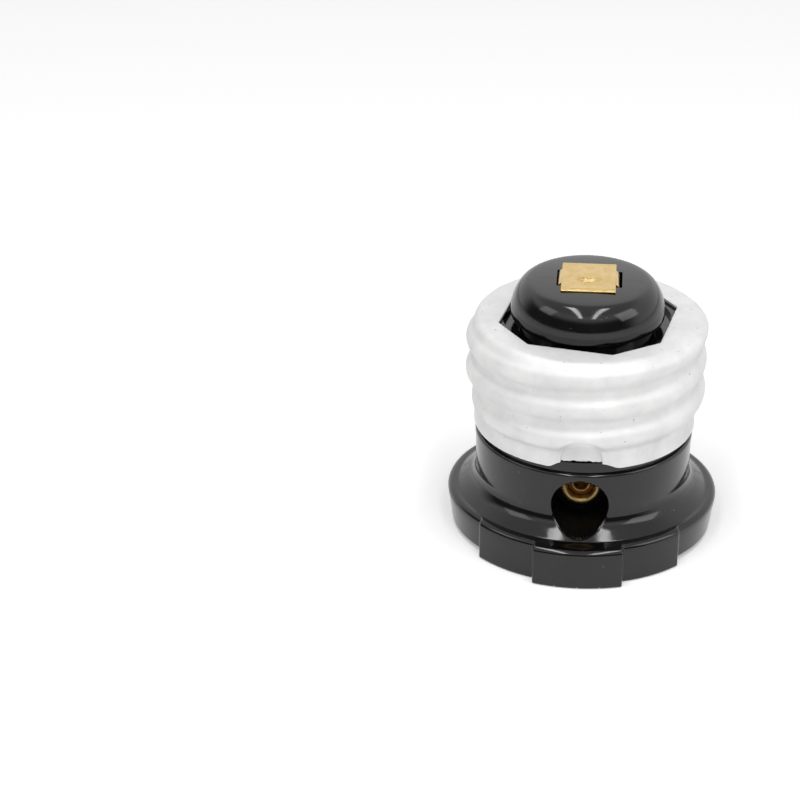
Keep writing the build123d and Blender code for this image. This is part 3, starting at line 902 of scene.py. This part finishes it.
def jawPart(xc, width):
    s = strip
    half = (s["jawGap"] + s["thick"]) / 2
    crown, foot = s["level"] - s["thick"] / 2, s["jawFoot"]
    return bentStrip([(xc - half, foot), (xc - half, crown), (xc + half, crown), (xc + half, foot)], width)


def padPart():
    # plate with a soft round boss in the middle and worn edges
    s = strip
    count = 101
    crowding = 1.35  # rows lie closer together near the edges
    us = np.linspace(-1, 1, count)
    hx, hy, edge = s["padHalfX"], s["padHalfY"], s["padEdge"]
    side, share = np.sign(us), 1 - (1 - np.abs(us)) ** crowding
    xs, ys = np.meshgrid(side * hx * share, side * hy * share, indexing="ij")
    inX, inY = hx - np.abs(xs), hy - np.abs(ys)
    near = np.clip(edge - np.minimum(inX, inY), 0, edge)
    top = s["padTop"] - (edge - np.sqrt(edge ** 2 - near ** 2))
    radius = np.hypot(xs, ys)
    top = top - s["padFall"] * smoothStep(0, 1, 1 - inY / s["padRoll"])  # ends drawn down by the cut
    rise = np.clip((s["bossRadius"] - radius) / (s["bossRadius"] - s["bossFlat"]), 0, 1)
    top = top + (s["bossTop"] - s["padTop"]) * (0.75 * rise + 0.25 * smoothStep(0, 1, rise))
    points = []
    for level in (top, np.full_like(top, s["padFoot"])):
        points += list(zip(xs.ravel(), ys.ravel(), level.ravel()))
    faces = gridQuads(count, count) + gridQuads(count, count, count * count)
    n = count * count
    rim = [(i, 0) for i in range(count)] + [(count - 1, j) for j in range(1, count)]
    rim += [(i, count - 1) for i in reversed(range(count - 1))]
    rim += [(0, j) for j in reversed(range(1, count - 1))]
    for (i, j), (k, l) in zip(rim, rim[1:] + rim[:1]):
        a, b = i * count + j, k * count + l
        faces.append((a, b, b + n, a + n))
    return points, faces


def makeCentreContact():
    s = strip
    made = joined("centreContact", [padPart()])
    middle = s["padTop"] - s["thick"] / 2 - s["earSink"]
    run = s["level"] + s["thick"] / 2
    half = (s["jawGap"] + s["thick"]) / 2
    ear, inner = s["earCentre"], s["earCentre"] - s["earRun"]
    riser = [(inner, middle), (ear, middle), (ear, run), (s["slotCentre"] + half - s["bend"], run)]
    short = [(-inner, middle), (-ear, middle), (-ear, s["padFoot"] - s["earDrop"])]
    ears = [bentStrip(path, s["earWidth"], s["earBend"]) for path in (riser, short)]
    combine(made, joined("ears", ears), "UNION")
    combine(made, joined("hotJaw", [jawPart(s["slotCentre"], s["hotWidth"])]), "UNION")
    smoothUnder(made, s["smooth"])
    ridesOn(made, contactBrass, "contact_brass", "centre_contact")
    return made


def makeNeutralContact():
    s = strip
    made = joined("neutralContact", [jawPart(-s["slotCentre"], s["neutralWidth"])])
    run = s["level"] + s["thick"] / 2 - s["armSink"]
    half = (s["jawGap"] + s["thick"]) / 2
    arm = [(-s["slotCentre"] + half - s["bend"], run), (-s["armReach"], run), (-s["armReach"], s["armTop"])]
    combine(made, joined("arm", [bentStrip(arm, s["armWidth"])]), "UNION")
    smoothUnder(made, s["smooth"])
    ridesOn(made, contactBrass, "contact_brass", "neutral_contact")
    return made


contactBrass = brassFinish("contactBrass", contactLook)
centreContact = makeCentreContact()
neutralContact = makeNeutralContact()
print("contacts made")


# stage: pale floor, white surroundings, soft lamps and the camera

stage = {
    "floorSize": 3.0, "floorTone": 0.93, "floorGlow": 0.26, "floorRough": 0.9, "floorShine": 0.1,
    "ambient": 0.25, "seen": 1.15, "lowDark": 0.92, "leftShade": 0.35, "topDark": 0.3,
    "aheadBand": (0.3, -0.3), "horizonBand": (0.62, 0.34), "zenithBand": (0.6, 0.85),  # where tones change
    "lamps": [  # name, place, what it points at, size across and along, watts
        ("leftBar", (-0.109, -0.255, 0.5), (-0.109, -0.255, 0), (0.06, 0.65), 1.22),
        ("rightBar", (0.113, -0.255, 0.5), (0.113, -0.255, 0), (0.056, 0.65), 1.08),
        ("leftPanel", (-0.62, -0.2, 0.5), (0, 0, 0.02), (0.32, 0.3), 0.45),
        ("rightPanel", (0.62, -0.22, 0.44), (0, 0, 0.02), (0.42, 0.36), 1.0),
        ("frontFill", (0, -0.9, 0.42), (0, 0, 0.015), (0.9, 0.5), 1.25),
    ],
    "lens": 126.0, "sensor": 36.0, "cameraAt": (2.139, -273.826, 156.927),  # fitted to the photo
    "lookAt": (-20.352, 0.0, 13.775), "roll": 0.111,  # in millimetres and degrees
}


def whiteRays(nodes, links):
    # 1 for rays from the camera and for mirrored or refracted ones
    path = nodes.new("ShaderNodeLightPath")
    first = nodes.new("ShaderNodeMath")
    second = nodes.new("ShaderNodeMath")
    for node in (first, second):
        node.operation = "MAXIMUM"
    links.new(path.outputs["Is Camera Ray"], first.inputs[0])
    links.new(path.outputs["Is Glossy Ray"], first.inputs[1])
    links.new(first.outputs["Value"], second.inputs[0])
    links.new(path.outputs["Is Transmission Ray"], second.inputs[1])
    return second.outputs["Value"]


def makeFloor():
    half = stage["floorSize"] / 2
    corners = [(-half, -half, 0), (half, -half, 0), (half, half, 0), (-half, half, 0)]
    made = objectFrom("floor", corners, [(0, 1, 2, 3)])
    paint = bpy.data.materials.new("paleFloor")
    paint.use_nodes = True
    nodes, links = paint.node_tree.nodes, paint.node_tree.links
    shader = nodes["Principled BSDF"]
    tone = stage["floorTone"]
    shader.inputs["Base Color"].default_value = (tone, tone, tone, 1)
    shader.inputs["Roughness"].default_value = stage["floorRough"]
    shader.inputs["Specular IOR Level"].default_value = stage["floorShine"]
    shader.inputs["Emission Color"].default_value = (1, 1, 1, 1)
    glow = nodes.new("ShaderNodeMath")  # lifts the floor to white and keeps the shadow
    glow.operation = "MULTIPLY"
    links.new(whiteRays(nodes, links), glow.inputs[0])
    glow.inputs[1].default_value = stage["floorGlow"]
    links.new(glow.outputs["Value"], shader.inputs["Emission Strength"])
    made.data.materials.append(paint)


def makeWorld():
    world = bpy.data.worlds.new("studio")
    bpy.context.scene.world = world
    world.use_nodes = True
    nodes, links = world.node_tree.nodes, world.node_tree.links
    nodes.clear()
    out = nodes.new("ShaderNodeOutputWorld")
    lit = nodes.new("ShaderNodeBackground")
    seen = nodes.new("ShaderNodeBackground")
    lit.inputs["Color"].default_value = (1, 1, 1, 1)
    lit.inputs["Strength"].default_value = stage["ambient"]
    seen.inputs["Strength"].default_value = stage["seen"]
    place = nodes.new("ShaderNodeTexCoord")
    split = nodes.new("ShaderNodeSeparateXYZ")
    links.new(place.outputs["Generated"], split.inputs["Vector"])

    def graded(value, low, high, dark):
        node = nodes.new("ShaderNodeMapRange")
        node.interpolation_type = "SMOOTHSTEP"
        for name, size in (("From Min", low), ("From Max", high), ("To Min", 1.0), ("To Max", 1.0 - dark)):
            node.inputs[name].default_value = size
        links.new(value, node.inputs["Value"])
        return node.outputs["Result"]

    def worked(how, a, b, c=0.0):
        node = nodes.new("ShaderNodeMath")
        node.operation = how
        for socket, value in zip(node.inputs, (a, b, c)):
            if isinstance(value, float):
                socket.default_value = value
            else:
                links.new(value, socket)
        return node.outputs["Value"]
    ahead = worked("MULTIPLY_ADD", split.outputs["X"], stage["leftShade"], split.outputs["Y"])
    away = graded(ahead, *stage["aheadBand"], 1.0)  # 0 on the viewer's side and at the left
    high = graded(split.outputs["Z"], *stage["horizonBand"], 1.0)  # 0 near the horizon
    light = worked("MAXIMUM", away, high)
    light = worked("MULTIPLY_ADD", light, stage["lowDark"], 1.0 - stage["lowDark"])
    top = graded(split.outputs["Z"], *stage["zenithBand"], stage["topDark"])
    links.new(worked("MULTIPLY", light, top), seen.inputs["Color"])
    blend = nodes.new("ShaderNodeMixShader")
    links.new(whiteRays(nodes, links), blend.inputs["Fac"])
    links.new(lit.outputs["Background"], blend.inputs[1])
    links.new(seen.outputs["Background"], blend.inputs[2])
    links.new(blend.outputs["Shader"], out.inputs["Surface"])


def makeLamps():
    for name, place, target, (across, along), watts in stage["lamps"]:
        light = bpy.data.lights.new(name, "AREA")
        light.shape = "RECTANGLE"
        light.size = across
        light.size_y = along
        light.energy = watts
        made = bpy.data.objects.new(name, light)
        made.location = place
        made.rotation_euler = (Vector(target) - Vector(place)).to_track_quat("-Z", "Y").to_euler()
        made.visible_glossy = "Fill" not in name  # a fill lights what scatters and isn't mirrored
        bpy.context.collection.objects.link(made)


def makeCamera():
    s = stage
    lens = bpy.data.cameras.new("camera")
    lens.lens = s["lens"]
    lens.sensor_width = s["sensor"]
    lens.clip_start = 0.01
    lens.clip_end = 20.0
    made = bpy.data.objects.new("camera", lens)
    bpy.context.collection.objects.link(made)
    ahead = Vector(s["lookAt"]) - Vector(s["cameraAt"])
    turn = ahead.to_track_quat("-Z", "Y").to_matrix().to_4x4()
    turn = turn @ Matrix.Rotation(math.radians(s["roll"]), 4, "Z")
    made.matrix_world = Matrix.Translation(Vector(s["cameraAt"]) * mm) @ turn
    bpy.context.scene.camera = made


makeFloor()
makeWorld()
makeLamps()
makeCamera()
bpy.context.scene.view_settings.view_transform = "Standard"
print("stage made")
